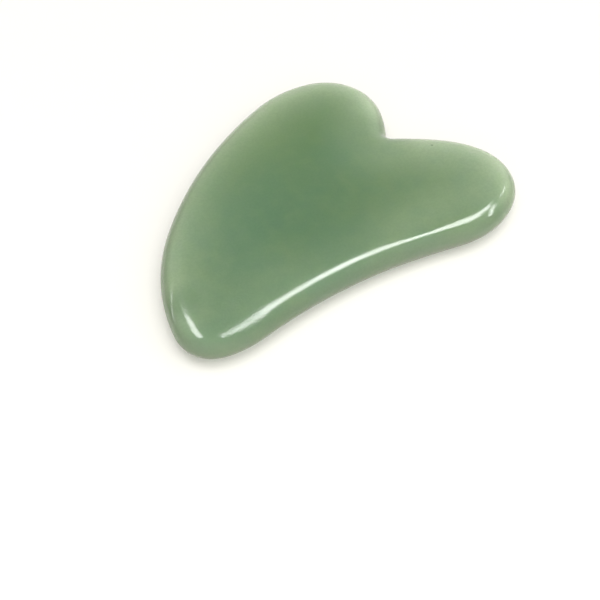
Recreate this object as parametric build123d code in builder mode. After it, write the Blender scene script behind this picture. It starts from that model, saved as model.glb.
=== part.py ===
"""Heart-shaped gua sha scraper, ground and polished from one piece of stone.

The plate lies flat on its underside, with its longest side along X. The hollow
scraping edge is on the -Y side, the point of the heart is at -X, and the two lobes,
with the notch between them that runs along a jawline, are at +X. Millimetres, +Z up.
"""
import os
from math import cos, radians, sin

from build123d import *

# Driving dimensions
THICKNESS = 7.0  # between the two flat faces
EDGE_WIDTH = 5.0  # how far the rounded edge reaches in from the outline
EDGE_LAND = 0.4  # upright band that the rounding leaves at mid-height, before squashing
POLISH = 0.01  # what lapping takes off each face, which makes it truly flat
NOTCH = (23.4, 4.1)  # where the sides of the notch would meet if it were sharp
NOTCH_HEADING = -27  # the way the outline leaves that corner, degrees from +X
NOTCH_RADIUS = 1.0

# Where one arc of the outline runs into the next, clockwise from the notch
OUTLINE = [
    (34.6, -3.3),  # long top of the small lobe
    (39.9, -10.1),  # its shoulder
    (36.1, -25.2),  # its round end
    (20.5, -28.5),  # heel of the scraping edge
    (-25.6, -28.2),  # the scraping edge, a shallow hollow
    (-34.5, -28.3),  # toe of the scraping edge
    (-41.0, -19.7),  # the point of the heart
    (-31.0, 3.5),  # start of the back edge
    (4.0, 27.5),  # the back edge, a long shallow bow
    (18.0, 28.4),  # crown of the large lobe
    (27.5, 12.7),  # its round end
    NOTCH,  # its side, which straightens into the notch
]

# The edge is half an ellipse. It is made as half a circle on a blank that is as thick
# as two edge widths, and the blank is then squashed to the plate's thickness.
BLANK_THICKNESS = 2 * EDGE_WIDTH
SQUASH = (THICKNESS + 2 * POLISH) / BLANK_THICKNESS

with BuildPart() as scraper_stone:
    with BuildSketch(Plane.XY.offset(-POLISH / SQUASH)) as outline:
        with BuildLine():
            start = NOTCH
            heading = (cos(radians(NOTCH_HEADING)), sin(radians(NOTCH_HEADING)))
            for end in OUTLINE:
                edge = TangentArc(start, end, tangent=heading)
                start = edge @ 1
                heading = edge % 1
        make_face()
        fillet(outline.vertices().sort_by_distance(NOTCH)[0], radius=NOTCH_RADIUS)
    extrude(amount=BLANK_THICKNESS)
    rims = scraper_stone.faces().filter_by(Axis.Z).edges()
    fillet(rims, radius=(BLANK_THICKNESS - EDGE_LAND) / 2)
    scale(by=(1, 1, SQUASH))
    split(bisect_by=Plane.XY, keep=Keep.TOP)
    split(bisect_by=Plane.XY.offset(THICKNESS), keep=Keep.BOTTOM)

scraper_stone.part.label = "scraper_stone"

os.makedirs("parts", exist_ok=True)
export_step(scraper_stone.part, "parts/scraper_stone.step")
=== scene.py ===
"""Looks of the heart-shaped gua sha scraper: one plate of polished, translucent green stone.

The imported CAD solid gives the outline, the thickness and the place. The stone that is
shown is a finer mesh of the same shape: a rim that rolls over in half an ellipse, two
faces that fall away slightly towards the rim, as faces lapped by hand do, and a stone
material with clouding, wisps, grain and a few dark specks. The camera stands where the
photograph's did, and the lamps give the photograph's highlights. Metres, +Z up.
"""
import math

import bmesh
import bpy
import numpy as np
from mathutils import Matrix, Vector, noise
from mathutils.geometry import delaunay_2d_cdt


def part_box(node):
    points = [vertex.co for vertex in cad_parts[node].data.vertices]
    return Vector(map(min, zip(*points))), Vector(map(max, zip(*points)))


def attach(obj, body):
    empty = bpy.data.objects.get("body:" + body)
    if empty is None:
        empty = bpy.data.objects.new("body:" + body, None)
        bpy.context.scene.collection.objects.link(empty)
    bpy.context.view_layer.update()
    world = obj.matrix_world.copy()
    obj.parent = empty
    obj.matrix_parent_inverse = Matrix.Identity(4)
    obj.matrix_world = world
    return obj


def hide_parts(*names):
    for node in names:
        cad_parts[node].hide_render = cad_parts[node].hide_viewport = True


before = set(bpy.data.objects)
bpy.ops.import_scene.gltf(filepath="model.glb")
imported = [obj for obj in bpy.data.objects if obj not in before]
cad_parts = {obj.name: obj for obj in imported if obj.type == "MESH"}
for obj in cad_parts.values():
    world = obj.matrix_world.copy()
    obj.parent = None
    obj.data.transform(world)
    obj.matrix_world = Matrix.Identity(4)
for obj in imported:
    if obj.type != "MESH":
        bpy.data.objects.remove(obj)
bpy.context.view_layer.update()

MM = 0.001
STONE = "scraper_stone"
LOW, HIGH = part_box(STONE)
THICKNESS = HIGH.z - LOW.z
MID_HEIGHT = (HIGH.z + LOW.z) / 2
WELD = 1e-7  # points of the CAD mesh that are closer than this are one point

# Shape of the ground and polished stone
EDGE_WIDTH = 5.0 * MM  # how far the rounded edge reaches in, seen from above
EDGE_UNEVENNESS = 0.02  # share by which the hand-ground edge width wanders
EDGE_WANDER_LENGTH = 14 * MM
GROUND_SPOTS = [  # places where the edge was ground wider or narrower: centre, reach, extra share
    (Vector((-22.5, -28)) * MM, 9 * MM, 0.34),
    (Vector((14, -26)) * MM, 8 * MM, -0.34),
]
FACE_FALL = 0.25 * MM  # how far the faces have dropped where the edge begins
FACE_FALL_REACH = 4.0 * MM
ARC_EASING = 1.2 * MM  # evens out the step in curvature from one arc to the next
SHARP_RADIUS = 3.0 * MM  # the notch is sharper than this, and isn't eased
SHARP_WIDENING = 3  # how far the uneased stretch reaches past the notch, as a gain on its blur

# Places on the stone
NOTCH_PLACE = Vector((22, 4, 3.5)) * MM  # the dip between the two lobes
TOE_PLACE = Vector((-29, -22.5, 6.6)) * MM  # where the scraping edge ends near the point
SHADED_SPOTS = [  # painted shade, darker green where less light comes through the stone: place, core, reach, strength
    (Vector((-2, -16, 7)) * MM, 2 * MM, 16 * MM, 0.32),
    (Vector((-37, -15, 6)) * MM, 0.5 * MM, 6 * MM, 0.4),
    (Vector((12, 11, 7)) * MM, 2 * MM, 13 * MM, 0.15),
]

# Mesh density
FINE_STEP = 0.05 * MM
LONGEST_STEP = 0.45 * MM
SHORTEST_STEP = 0.09 * MM
STEP_PER_RADIUS = 0.1
LINE_EASING = 4 * FINE_STEP  # takes the facets of the CAD mesh out of the line
STEP_EASING = 10 * FINE_STEP  # keeps neighbouring steps of the mesh alike in length
EDGE_RINGS = 26  # from mid-height to a face
FACE_STEP = 0.9 * MM
GRID_CLEARANCE = 0.6 * FACE_STEP  # between the face's grid and the edge's last ring
SLOPE_PROBE = 0.2 * MM  # how far to each side the face's slope is measured
PROFILE_ROUNDS = 8  # each one brings the edge's slope closer to the face's
BATCH = 1000  # how many places are measured against the outline at a time


# ---------------------------------------------------------------- outline

def widest_line(mesh):
    """The CAD mesh's level line just above mid-height, as points in order round the stone."""
    solid = bmesh.new()
    solid.from_mesh(mesh)
    bmesh.ops.remove_doubles(solid, verts=solid.verts, dist=WELD)
    height = min(v.co.z for v in solid.verts if v.co.z > MID_HEIGHT)
    level = [e for e in solid.edges if all(abs(v.co.z - height) < WELD for v in e.verts)]
    beside = {}
    for edge in level:
        for vert in edge.verts:
            beside.setdefault(vert, []).append(edge.other_vert(vert))
    first = min(beside, key=lambda v: v.co.x)
    line, here, before = [first], beside[first][0], first
    while here is not first:
        line.append(here)
        here, before = next(v for v in beside[here] if v is not before), here
    points = np.array([v.co.xy for v in line])
    solid.free()
    following = np.roll(points, -1, axis=0)
    area = np.sum(points[:, 0] * following[:, 1] - following[:, 0] * points[:, 1])
    return points if area > 0 else points[::-1]


def unit(vectors):
    """The same directions with length one."""
    return vectors / np.linalg.norm(vectors, axis=-1, keepdims=True)


def fine_line(points):
    """Close points on a smooth closed curve through the given ones, tangent as arcs would be."""
    chords = np.roll(points, -1, axis=0) - points
    lengths = np.linalg.norm(chords, axis=1, keepdims=True)
    ahead, behind = unit(chords), np.roll(unit(chords), 1, axis=0)
    tangents = unit(ahead * np.roll(lengths, 1, axis=0) + behind * lengths)
    line = []
    for i, length in enumerate(lengths[:, 0]):
        t = np.linspace(0, 1, max(2, math.ceil(length / FINE_STEP)), endpoint=False)[:, None]
        a, b = points[i], points[(i + 1) % len(points)]
        u, v = tangents[i] * length, tangents[(i + 1) % len(points)] * length
        line.append((2 * t**3 - 3 * t**2 + 1) * a + (t**3 - 2 * t**2 + t) * u
                    + (3 * t**2 - 2 * t**3) * b + (t**3 - t**2) * v)
    return np.vstack(line)


def even_steps(line, step):
    """The same closed line with points one step apart along it."""
    closed = np.vstack([line, line[:1]])
    along = np.r_[0, np.cumsum(np.linalg.norm(np.diff(closed, axis=0), axis=1))]
    places = np.linspace(0, along[-1], round(along[-1] / step), endpoint=False)
    return np.stack([np.interp(places, along, closed[:, k]) for k in (0, 1)], axis=1)


def softened(values, reach):
    """Values round a closed line of FINE_STEP, blurred over that reach."""
    count = len(values)
    waves = np.fft.rfftfreq(count, FINE_STEP)
    filtered = np.exp(-2 * (math.pi * waves * reach) ** 2)
    filtered = filtered.reshape((-1,) + (1,) * (values.ndim - 1))
    return np.fft.irfft(np.fft.rfft(values, axis=0) * filtered, count, axis=0)


def bend_of(line):
    """Curvature at each point of a closed line, positive where it bulges out."""
    ahead = np.roll(line, -1, axis=0) - line
    behind = line - np.roll(line, 1, axis=0)
    turn = behind[:, 0] * ahead[:, 1] - behind[:, 1] * ahead[:, 0]
    return turn / np.linalg.norm(ahead, axis=1) ** 3


def stone_outline():
    """Points round the widest line, and the direction into the stone at each."""
    exact = even_steps(fine_line(widest_line(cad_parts[STONE].data)), FINE_STEP)
    close = softened(exact, LINE_EASING)
    sharp = softened((np.abs(bend_of(close)) > 1 / SHARP_RADIUS).astype(float), ARC_EASING)
    sharp = np.clip(SHARP_WIDENING * sharp, 0, 1)[:, None]
    line = sharp * close + (1 - sharp) * softened(exact, ARC_EASING)
    step = np.clip(STEP_PER_RADIUS / np.abs(bend_of(line)), SHORTEST_STEP, LONGEST_STEP)
    density = np.r_[0, np.cumsum(FINE_STEP / softened(step, STEP_EASING))]
    picks = np.linspace(0, density[-1], round(density[-1]), endpoint=False)
    tangents = unit(np.roll(line, -1, axis=0) - np.roll(line, 1, axis=0))
    inward = np.stack([-tangents[:, 1], tangents[:, 0]], axis=1)

    def at_picks(values):
        closed = np.vstack([values, values[:1]])
        return np.stack([np.interp(picks, density, closed[:, k]) for k in (0, 1)], axis=1)

    return at_picks(line), unit(at_picks(inward))


# ---------------------------------------------------------------- mesh

def rim_pull(places, outline):
    """How strongly the rim is felt at each place: highest near it, most of all at the point."""
    weights = np.linalg.norm(np.roll(outline, -1, axis=0) - np.roll(outline, 1, axis=0), axis=1)
    pull = np.empty(len(places))
    for start in range(0, len(places), BATCH):
        part = places[start:start + BATCH]
        gaps = np.linalg.norm(part[:, None] - outline[None], axis=2)
        pull[start:start + BATCH] = np.exp(-gaps / FACE_FALL_REACH) @ weights
    return pull


def inside(places, loop):
    """Which places lie inside a closed loop."""
    following = np.roll(loop, -1, axis=0)
    found = np.zeros(len(places), bool)
    for (ax, ay), (bx, by) in zip(loop, following):
        if ay != by:
            crosses = (ay > places[:, 1]) != (by > places[:, 1])
            found ^= crosses & (places[:, 0] < (bx - ax) * (places[:, 1] - ay) / (by - ay) + ax)
    return found


def nearest(places, line):
    """Distance from each place to the nearest point of a line."""
    gaps = [np.linalg.norm(places[i:i + BATCH, None] - line[None], axis=2).min(axis=1)
            for i in range(0, len(places), BATCH)]
    return np.concatenate(gaps)


def face_grid(loop):
    """Places in rows and offset columns inside a loop, clear of its own points."""
    low, high = loop.min(axis=0), loop.max(axis=0)
    rows = np.arange(low[1], high[1], FACE_STEP * math.sqrt(3) / 2)
    columns = np.arange(low[0], high[0], FACE_STEP)
    places = np.array([(x + (i % 2) * FACE_STEP / 2, y)
                       for i, y in enumerate(rows) for x in columns])
    places = places[inside(places, loop)]
    return places[nearest(places, loop) > GRID_CLEARANCE]


def uneven_width(outline):
    """The edge's width at each place on the outline, as a hand-held grinder leaves it."""
    wander = [noise.noise(Vector((x, y, 0)) / EDGE_WANDER_LENGTH) for x, y in outline]
    share = 1 + EDGE_UNEVENNESS * np.array(wander)
    for centre, reach, extra in GROUND_SPOTS:
        share += extra * np.exp(-((outline - centre) ** 2).sum(axis=1) / reach**2)
    return EDGE_WIDTH * share


def edge_profile(width, rise, slope):
    """The reach of the edge's ellipse all round, and the angle where it has the face's slope."""
    last = np.full(len(width), math.pi / 2)
    for _ in range(PROFILE_ROUNDS):
        reach = width / (1 - np.cos(last))
        last = np.arctan2(rise / np.sin(last), slope * reach)
    return reach, last


def at_height(spots, height):
    """Points over places in the plan, each at its height above the stone's middle."""
    return [(x, y, MID_HEIGHT + z) for (x, y), z in zip(spots, height)]


def edge_rings(outline, inward, width, rise, slope):
    """Points of the rounded edge, ring by ring from the lower face up, and how far in each is."""
    reach, last = edge_profile(width, rise, slope)
    verts, insets = [], []
    for turn in np.linspace(-1, 1, 2 * EDGE_RINGS + 1):
        angle = last * abs(turn)
        inset = reach * (1 - np.cos(angle))
        height = math.copysign(1, turn) * rise * np.sin(angle) / np.sin(last)
        verts += at_height(outline + inward * inset[:, None], height)
        insets += list(inset)
    return verts, insets


def face_triangles(shoulder, grid):
    """A face's triangles, with corners numbered along the shoulder first, then over the grid."""
    count = len(shoulder)
    points = [Vector(p) for p in np.vstack([shoulder, grid])]
    loop = [(i, (i + 1) % count) for i in range(count)]
    _, _, triangles, sources, _, _ = delaunay_2d_cdt(points, loop, [], 1, 1e-9)
    return [[sources[v][0] for v in tri] for tri in triangles]


def stone_mesh():
    """The whole stone as one closed mesh, with its distance from the rim kept as an attribute."""
    outline, inward = stone_outline()
    width = uneven_width(outline)
    shoulder = outline + inward * width[:, None]
    usual_pull = np.median(rim_pull(shoulder, outline))

    def face_height(places):
        return THICKNESS / 2 - FACE_FALL * rim_pull(places, outline) / usual_pull

    probe = SLOPE_PROBE * inward
    slope = (face_height(shoulder + probe) - face_height(shoulder - probe)) / (2 * SLOPE_PROBE)
    verts, rim_distance = edge_rings(outline, inward, width, face_height(shoulder), slope)
    count = len(outline)
    faces = [(ring * count + i, ring * count + (i + 1) % count,
              (ring + 1) * count + (i + 1) % count, (ring + 1) * count + i)
             for ring in range(2 * EDGE_RINGS) for i in range(count)]

    grid = face_grid(shoulder)
    height = face_height(grid)
    depth = nearest(grid, outline)
    triangles = face_triangles(shoulder, grid)
    for side, ring in ((-1, 0), (1, 2 * EDGE_RINGS)):
        first = len(verts)
        verts += at_height(grid, side * height)
        rim_distance += list(depth)
        for tri in triangles:
            ids = [ring * count + i if i < count else first + i - count for i in tri]
            faces.append(ids if side > 0 else ids[::-1])

    mesh = bpy.data.meshes.new("polished_stone")
    mesh.from_pydata(verts, [], faces)
    mesh.polygons.foreach_set("use_smooth", [True] * len(mesh.polygons))
    depths = mesh.attributes.new("rim_distance", "FLOAT", "POINT")
    depths.data.foreach_set("value", np.array(rim_distance, np.float32))
    mesh.validate()
    return mesh


# ---------------------------------------------------------------- materials

# Size of each kind of variation in the stone
CLOUD_SIZE = 16 * MM
MOTTLE_SIZE = 7 * MM
WISP_SIZE = 4 * MM
GRAIN_SIZE = 0.5 * MM
SPECK_CELL = 5 * MM  # at most one speck in each
POLISH_PATCH_SIZE = 3 * MM
RIPPLE_SIZE = 5 * MM
PIT_SIZE = 0.4 * MM

# How far the painted glow near the rim reaches, how the stone scatters light and how it was
# polished
PAINTED_GLOW_REACH = 5 * MM  # the painted glow of light showing through the rim falls to about a third this far in
PAINTED_GLOW_START = 2.5 * MM  # from here out to the rim itself the painted glow weakens by half
SCATTER_LENGTH = 3 * MM
SCATTER_BY_COLOUR = (0.8, 1.0, 0.7)  # green goes furthest
QUARTZ_IOR = 1.54
BEST_POLISH, WORST_POLISH = 0.09, 0.14  # roughness
TOE_DULLNESS = 0.045  # added roughness
TOE_CORE, TOE_REACH = 2 * MM, 9 * MM
RIPPLE_DEPTH = 0.012 * MM
PIT_DEPTH = 0.045 * MM
PITS_EVERYWHERE, PITS_AT_TOE = 0.03, 0.95  # strength of the pits

# Linear colours
BLUE_GREEN = (0.120, 0.215, 0.121, 1.0)
LEAF_GREEN = (0.138, 0.224, 0.109, 1.0)
MOTTLE_GREEN = (0.108, 0.205, 0.118, 1.0)
WISP_GREEN = (0.19, 0.29, 0.16, 1.0)
LARGE_LOBE_GREEN = (0.130, 0.222, 0.088, 1.0)
# painted light: the pale green of light showing through the stone
PAINTED_GLOW_GREEN = (0.58, 0.68, 0.48, 1.0)
# painted shade: darker green where less light comes through the stone
SHADE_GREEN = (0.09, 0.18, 0.09, 1.0)
# painted shade on the outermost strip of the edge
RIM_SHADE_GREY = (0.185, 0.195, 0.145, 1.0)
GRAIN_GREEN = (0.08, 0.15, 0.08, 1.0)
SPECK_GREEN = (0.05, 0.09, 0.05, 1.0)
TABLETOP_WHITE = (0.82, 0.81, 0.765, 1.0)
BACKDROP_WHITE = (0.96, 0.95, 0.91, 1.0)
ROOM_WHITE = (1.0, 0.985, 0.955, 1.0)

TABLETOP_ROUGHNESS = 0.6


class Graph:
    """Short calls for building the nodes of a material or of the world."""

    def __init__(self, owner):
        owner.use_nodes = True
        self.tree = owner.node_tree
        self.tree.nodes.clear()

    def node(self, kind, **settings):
        made = self.tree.nodes.new("ShaderNode" + kind)
        for name, value in settings.items():
            setattr(made, name, value)
        return made

    def feed(self, socket, value):
        if isinstance(value, bpy.types.NodeSocket):
            self.tree.links.new(value, socket)
        else:
            socket.default_value = value

    def maths(self, operation, *values):
        made = self.node("Math", operation=operation)
        for socket, value in zip(made.inputs, values):
            self.feed(socket, value)
        return made.outputs[0]

    def spread(self, value, low, high, to_low=0.0, to_high=1.0):
        """Value from low..high eased to to_low..to_high."""
        made = self.node("MapRange", interpolation_type="SMOOTHSTEP")
        for socket, number in zip(made.inputs, (value, low, high, to_low, to_high)):
            self.feed(socket, number)
        return made.outputs[0]

    def cloud(self, where, size, detail=2.0, roughness=0.5):
        made = self.node("TexNoise")
        self.feed(made.inputs["Vector"], where)
        self.feed(made.inputs["Scale"], 1 / size)
        self.feed(made.inputs["Detail"], detail)
        self.feed(made.inputs["Roughness"], roughness)
        return made.outputs["Fac"]

    def blend(self, share, first, second):
        made = self.node("Mix", data_type="RGBA")
        self.feed(made.inputs["Factor"], share)
        self.feed(made.inputs[6], first)  # the sockets for colours, which share their names
        self.feed(made.inputs[7], second)
        return made.outputs[2]

    def near(self, where, place, core, reach, share):
        """That share within the core round a place, easing to nothing at its reach."""
        gap = self.node("VectorMath", operation="DISTANCE")
        self.feed(gap.inputs[0], where)
        self.feed(gap.inputs[1], place)
        return self.spread(gap.outputs["Value"], core, reach, share, 0.0)


def body_colour(g, where, place):
    """The clouded green inside, yellower in the large lobe and painted paler towards both ends, as
    light showing through the stone there makes it.
    """
    clouds = g.cloud(where, CLOUD_SIZE, 3.0, 0.55)
    mottles = g.cloud(where, MOTTLE_SIZE, 2.0, 0.5)
    wisps = g.cloud(where, WISP_SIZE, 3.0, 0.6)
    large_lobe = g.spread(place["Y"], -5 * MM, 18 * MM, 0.0, 0.5)
    # painted light: paler towards the small lobe and towards the point
    small_lobe = g.spread(place["X"], 5 * MM, 38 * MM, 0.0, 0.13)
    point = g.spread(place["X"], -5 * MM, -38 * MM, 0.0, 0.07)
    body = g.blend(g.spread(clouds, 0.35, 0.65), BLUE_GREEN, LEAF_GREEN)
    body = g.blend(g.spread(mottles, 0.45, 0.65, 0.0, 0.35), body, MOTTLE_GREEN)
    body = g.blend(g.spread(wisps, 0.4, 0.75, 0.0, 0.2), body, WISP_GREEN)
    body = g.blend(large_lobe, body, LARGE_LOBE_GREEN)
    body = g.blend(small_lobe, body, PAINTED_GLOW_GREEN)
    return g.blend(point, body, PAINTED_GLOW_GREEN)


def painted_glow_share(g, where, place, rim):
    """Painted light: how much paler the stone is painted near the rim, where light shows through
    it, most at the lobes and on the far side, least at the scraping edge and in the notch.
    """
    fade = g.maths("EXPONENT", g.maths("MULTIPLY", rim, -1 / PAINTED_GLOW_REACH))
    edge = g.maths("MULTIPLY", fade, g.spread(rim, 0, PAINTED_GLOW_START, 0.5, 1.0))
    towards_lobes = g.spread(place["X"], -20 * MM, 14 * MM, 0.56, 1.0)
    behind_front = g.spread(place["Y"], -27 * MM, -16 * MM, 0.12, 1.0)
    small_lobe_end = g.spread(place["X"], 28 * MM, 37 * MM, 0.0, 0.7)
    clear_of_front = g.maths("MAXIMUM", behind_front, small_lobe_end)
    out_of_notch = g.maths("SUBTRACT", 1.0, g.near(where, NOTCH_PLACE, 3 * MM, 11 * MM, 0.6))
    share = g.maths("MULTIPLY", edge, g.maths("MULTIPLY", towards_lobes, clear_of_front))
    return g.maths("MULTIPLY", share, out_of_notch)


def painted_rim_shade_share(g, place, rim):
    """Painted shade: how grey and dark the outermost strip of the edge is painted, most of all low
    down, where the contact shadow falls.
    """
    outermost = g.spread(rim, 0.4 * MM, 2.4 * MM, 1.0, 0.0)
    return g.maths("MULTIPLY", outermost, g.spread(place["Z"], 5 * MM, 2 * MM, 0.35, 0.85))


def stone_colour(g, where, rim):
    """Clouded green with grain, painted paler near the rim where light shows through, with painted
    shade in darker spots and a painted grey shade on the rim.
    """
    split = g.node("SeparateXYZ")
    g.feed(split.inputs[0], where)
    place = split.outputs
    # painted light: paler near the rim, where light shows through the stone
    tint = g.blend(painted_glow_share(g, where, place, rim), body_colour(g, where, place), PAINTED_GLOW_GREEN)
    # painted shade in the darker spots
    for spot, core, reach, strength in SHADED_SPOTS:
        tint = g.blend(g.near(where, spot, core, reach, strength), tint, SHADE_GREEN)
    # painted shade, grey and darker, on the outermost strip of the edge
    tint = g.blend(painted_rim_shade_share(g, place, rim), tint, RIM_SHADE_GREY)
    grains = g.cloud(where, GRAIN_SIZE, 1.0)
    tint = g.blend(g.spread(grains, 0.3, 0.7, 0.0, 0.10), tint, GRAIN_GREEN)
    return g.blend(specks(g, where), tint, SPECK_GREEN)


def specks(g, where):
    """Share of dark mineral in each place: a small blot in one in five of the stone's cells."""
    cells = g.node("TexVoronoi")
    g.feed(cells.inputs["Vector"], where)
    g.feed(cells.inputs["Scale"], 1 / SPECK_CELL)
    parts = g.node("SeparateColor")
    g.feed(parts.inputs[0], cells.outputs["Color"])
    chosen = g.spread(parts.outputs[0], 0.78, 0.82)
    blot = g.spread(cells.outputs["Distance"], 0.03, 0.08, 0.45, 0.0)
    return g.maths("MULTIPLY", chosen, blot)


def stone_roughness(g, where):
    """A high polish that wanders a little, and is duller where the toe was ground."""
    patches = g.cloud(where, POLISH_PATCH_SIZE)
    polish = g.spread(patches, 0.3, 0.7, BEST_POLISH, WORST_POLISH)
    return g.maths("ADD", polish, g.near(where, TOE_PLACE, TOE_CORE, TOE_REACH, TOE_DULLNESS))


def polish_bump(g, where):
    """A slight ripple all over, and fine pits that are only plain to see at the toe."""
    ripple = g.node("Bump")
    g.feed(ripple.inputs["Strength"], 1.0)
    g.feed(ripple.inputs["Distance"], RIPPLE_DEPTH)
    g.feed(ripple.inputs["Height"], g.cloud(where, RIPPLE_SIZE, 1.0))
    at_toe = g.near(where, TOE_PLACE, TOE_CORE, TOE_REACH, PITS_AT_TOE)
    pits = g.node("Bump")
    g.feed(pits.inputs["Strength"], g.maths("ADD", PITS_EVERYWHERE, at_toe))
    g.feed(pits.inputs["Distance"], PIT_DEPTH)
    g.feed(pits.inputs["Height"], g.cloud(where, PIT_SIZE, 1.0))
    g.feed(pits.inputs["Normal"], ripple.outputs[0])
    return pits.outputs[0]


def stone_material():
    material = bpy.data.materials.new("green_stone")
    g = Graph(material)
    where = g.node("TexCoord").outputs["Object"]
    rim = g.node("Attribute", attribute_name="rim_distance").outputs["Fac"]
    shader = g.node("BsdfPrincipled")
    g.feed(shader.inputs["Base Color"], stone_colour(g, where, rim))
    g.feed(shader.inputs["Roughness"], stone_roughness(g, where))
    g.feed(shader.inputs["Normal"], polish_bump(g, where))
    g.feed(shader.inputs["IOR"], QUARTZ_IOR)
    g.feed(shader.inputs["Subsurface Weight"], 1.0)
    g.feed(shader.inputs["Subsurface Radius"], SCATTER_BY_COLOUR)
    g.feed(shader.inputs["Subsurface Scale"], SCATTER_LENGTH)
    g.feed(g.node("OutputMaterial").inputs["Surface"], shader.outputs[0])
    return material


def tabletop_material():
    material = bpy.data.materials.new("pale_tabletop")
    g = Graph(material)
    shader = g.node("BsdfPrincipled")
    g.feed(shader.inputs["Base Color"], TABLETOP_WHITE)
    g.feed(shader.inputs["Roughness"], TABLETOP_ROUGHNESS)
    g.feed(g.node("OutputMaterial").inputs["Surface"], shader.outputs[0])
    return material


def backdrop_material():
    material = bpy.data.materials.new("pale_backdrop")
    g = Graph(material)
    glow = g.node("Emission")
    g.feed(glow.inputs["Color"], BACKDROP_WHITE)
    g.feed(g.node("OutputMaterial").inputs["Surface"], glow.outputs[0])
    return material


# ---------------------------------------------------------------- scene

def add(name, data):
    made = bpy.data.objects.new(name, data)
    bpy.context.scene.collection.objects.link(made)
    return made


def make_stone():
    stone = add("stone_body", stone_mesh())
    stone.data.materials.append(stone_material())
    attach(stone, "root")
    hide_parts(STONE)


TABLE_HALF = 1.5
TABLE_GAP = 0.02 * MM  # keeps the tabletop and the stone's underside apart
BACKDROP_RADIUS = 1.45
BACKDROP_HEIGHT = 0.9
BACKDROP_SIDES = 96


def make_tabletop():
    half, drop = TABLE_HALF, LOW.z - TABLE_GAP
    corners = [(-half, -half, drop), (half, -half, drop), (half, half, drop), (-half, half, drop)]
    mesh = bpy.data.meshes.new("tabletop")
    mesh.from_pydata(corners, [], [(0, 1, 2, 3)])
    mesh.materials.append(tabletop_material())
    add("tabletop", mesh)


def make_backdrop():
    """A pale wall round the table, only seen directly: it changes no light and no reflection."""
    corners = []
    for turn in np.linspace(0, 2 * math.pi, BACKDROP_SIDES, endpoint=False):
        x, y = BACKDROP_RADIUS * math.cos(turn), BACKDROP_RADIUS * math.sin(turn)
        corners += [(x, y, LOW.z), (x, y, BACKDROP_HEIGHT)]
    count = len(corners)
    faces = [(i, i + 1, (i + 3) % count, (i + 2) % count) for i in range(0, count, 2)]
    mesh = bpy.data.meshes.new("backdrop")
    mesh.from_pydata(corners, [], faces)
    mesh.materials.append(backdrop_material())
    wall = add("backdrop", mesh)
    wall.visible_diffuse = False
    wall.visible_glossy = False
    wall.visible_transmission = False
    wall.visible_shadow = False


CAMERA_TURN = 31  # degrees, from looking along +Y towards +X
CAMERA_PITCH = 52  # degrees below the horizon
CAMERA_DISTANCE = 220.4 * MM
CAMERA_TARGET = Vector((-14.28, -21.74, 0)) * MM
CAMERA_LENS = 66  # in the camera's own millimetres, as the sensor's width is
SENSOR_WIDTH = 36


def towards(bearing, height):
    """The direction this many degrees clockwise of the camera's heading and above the horizon."""
    turn, lift = math.radians(CAMERA_TURN + bearing), math.radians(height)
    level = math.cos(lift)
    return Vector((math.sin(turn) * level, math.cos(turn) * level, math.sin(lift)))


def make_camera():
    data = bpy.data.cameras.new("camera")
    data.lens = CAMERA_LENS
    data.sensor_width = SENSOR_WIDTH
    camera = add("camera", data)
    ahead = towards(0, -CAMERA_PITCH)
    camera.location = CAMERA_TARGET - ahead * CAMERA_DISTANCE
    camera.rotation_euler = ahead.to_track_quat("-Z", "Y").to_euler()
    bpy.context.scene.camera = camera


def area_lamp(name, place, turn, width, length, radiance):
    """A lamp as bright to look at as that radiance, whatever its area."""
    data = bpy.data.lights.new(name, "AREA")
    data.shape = "RECTANGLE"
    data.size = width
    data.size_y = length
    data.energy = radiance * 4 * width * length  # an area lamp's radiance is power / (4 x area)
    lamp = add(name, data)
    lamp.location = place
    lamp.rotation_euler = turn
    return lamp


def strip_light(name, start, end, width, radiance):
    """A long lamp a metre away, between two directions, that shows only as a reflection."""
    first, last = towards(*start), towards(*end)
    middle, along = (first + last) / 2, (last - first).normalized()
    outward = middle.normalized()
    turn = Matrix((along.cross(outward), along, outward)).transposed().to_euler()
    lamp = area_lamp(name, middle, turn, width, (last - first).length, radiance)
    lamp.visible_diffuse = False


SOFT_LIGHT_DISTANCE = 3.0  # far enough off for the tabletop to be lit evenly


def soft_light(name, direction, size, radiance, shadow=True):
    """A square lamp that leaves no reflection. Its size is what it would be a metre away."""
    turn = direction.to_track_quat("Z", "Y").to_euler()
    side = size * SOFT_LIGHT_DISTANCE
    lamp = area_lamp(name, direction * SOFT_LIGHT_DISTANCE, turn, side, side, radiance)
    lamp.data.use_shadow = shadow
    lamp.visible_glossy = False


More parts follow.
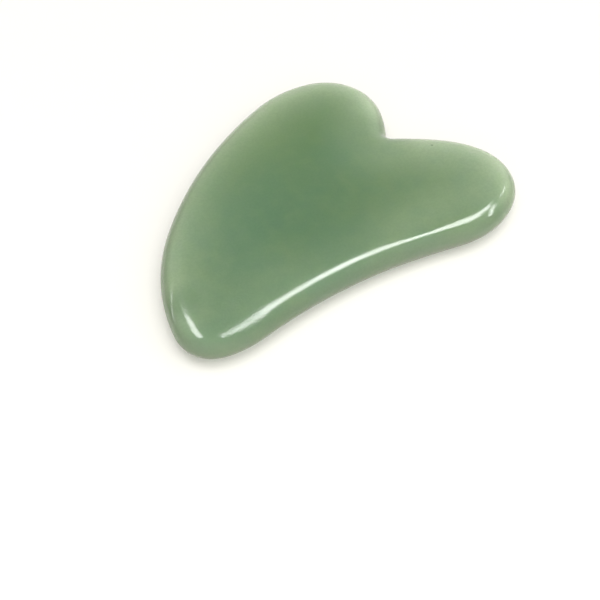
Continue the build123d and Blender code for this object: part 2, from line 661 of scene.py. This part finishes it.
# Paler and darker areas of the room: direction, the cosines where each starts and is full, strength
GLOWS = [
    (towards(0, 47), 0.92, 0.99, -0.2),
    (towards(15, -5), 0.55, 0.95, 0.42),
    (towards(180, 22), 0.2, 0.9, 0.6),
    (towards(-75, -10), 0.6, 0.95, -0.1),
]
ROOM_LIGHT = 0.25


def make_room():
    """Soft light from all round, with paler and darker areas that show in the polish."""
    world = bpy.data.worlds.new("room")
    g = Graph(world)
    where = g.node("TexCoord").outputs["Generated"]
    light = ROOM_LIGHT
    for direction, start, full, strength in GLOWS:
        cosine = g.node("VectorMath", operation="DOT_PRODUCT")
        g.feed(cosine.inputs[0], where)
        g.feed(cosine.inputs[1], direction)
        light = g.maths("ADD", light, g.spread(cosine.outputs["Value"], start, full, 0.0, strength))
    background = g.node("Background")
    g.feed(background.inputs["Color"], ROOM_WHITE)
    g.feed(background.inputs["Strength"], light)
    g.feed(g.node("OutputWorld").inputs["Surface"], background.outputs[0])
    bpy.context.scene.world = world


def make_lights():
    """Soft lamps for the stone and its shadow, and strips for the highlights along its edge."""
    # Direction, width as from a metre away, radiance
    soft_light("overhead", towards(0, 90), 0.5, 2.4)
    soft_light("fill", towards(0, 90), 1.0, 0.95, shadow=False)
    soft_light("front_side", towards(165, 48), 1.0, 1.3, shadow=False)
    soft_light("right_side", towards(95, 40), 1.0, 0.65)
    # Both ends as bearing and height in degrees, width, radiance
    strip_light("front_window", (113, 80), (66, 68), 0.17, 10.5)
    strip_light("front_pane", (67, 68.5), (56, 57), 0.28, 10.5)
    strip_light("front_corner", (56, 57), (53, 50), 0.14, 10.5)
    strip_light("left_window", (-108, 67), (-46, 52.5), 0.2, 8.5)
    strip_light("right_lamp", (62, 47), (87, 40), 0.06, 12)
    strip_light("right_gleam", (55, 40), (50, 30), 0.05, 7)
    strip_light("left_gleam", (-57, 32), (-76, 14), 0.03, 4)


bpy.context.scene.view_settings.view_transform = "Standard"
make_camera()
make_stone()
make_tabletop()
make_backdrop()
make_room()
make_lights()
